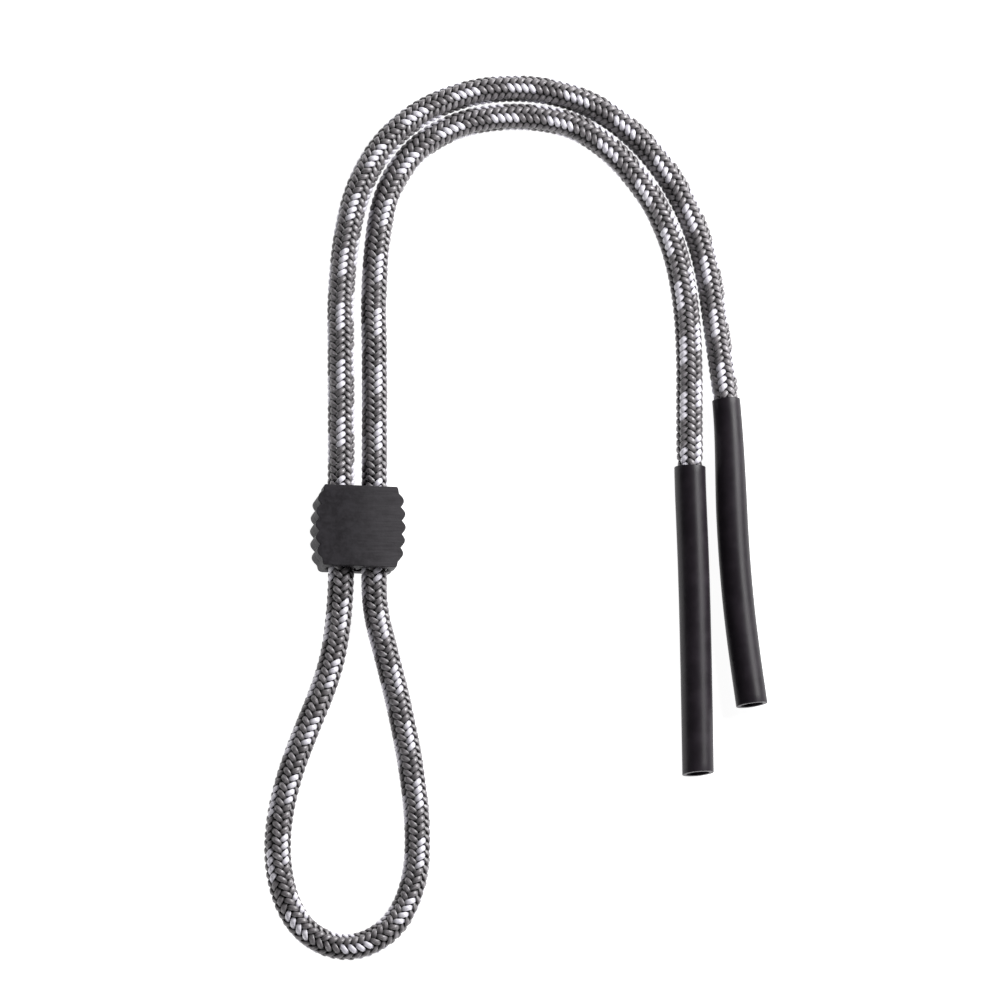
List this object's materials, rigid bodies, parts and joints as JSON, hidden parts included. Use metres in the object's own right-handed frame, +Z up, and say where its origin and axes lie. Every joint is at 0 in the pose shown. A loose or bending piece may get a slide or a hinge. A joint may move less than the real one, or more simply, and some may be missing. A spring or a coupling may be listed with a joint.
{
  "type": "eyeglass retainer strap",
  "caption": "Braided eyeglass cord doubled back through a two-bore scalloped slider, with a soft black tube on each end that grips a temple arm, laid flat.",
  "frame": {"origin": "centre of the slider's underside, on the surface that the strap lies on", "axes": "+Y along the slider's bores and the cord's two straight runs, away from the loop; +X from the slider towards the temple tubes; +Z up from the surface"},
  "size_m": [0.0989, 0.1765, 0.0087],
  "materials": {
    "braid_grey_white": "sixteen-strand polyester braid, twelve grey strands and four white",
    "filler_yarn": "straight dark filler yarns",
    "melted_fibre": "heat-sealed fibre",
    "tube_rubber": "smooth satin black rubber",
    "slider_plastic": "fine matte moulded plastic, smoother on the scalloped sides"
  },
  "bodies": {
    "strap": {"cord_sheath": "braid_grey_white", "cord_core": "filler_yarn", "cord_end_seal_left": "melted_fibre", "cord_end_seal_right": "melted_fibre", "temple_tube_left": "tube_rubber", "temple_tube_right": "tube_rubber"},
    "slider": {"slider_top_shell": "slider_plastic", "slider_bottom_shell": "slider_plastic"}
  },
  "joints": [
    {"name": "slider_slide", "type": "slide", "parent": "strap", "child": "slider", "axis": [0, 1, 0], "range_m": [0, 0.025]}
  ]
}
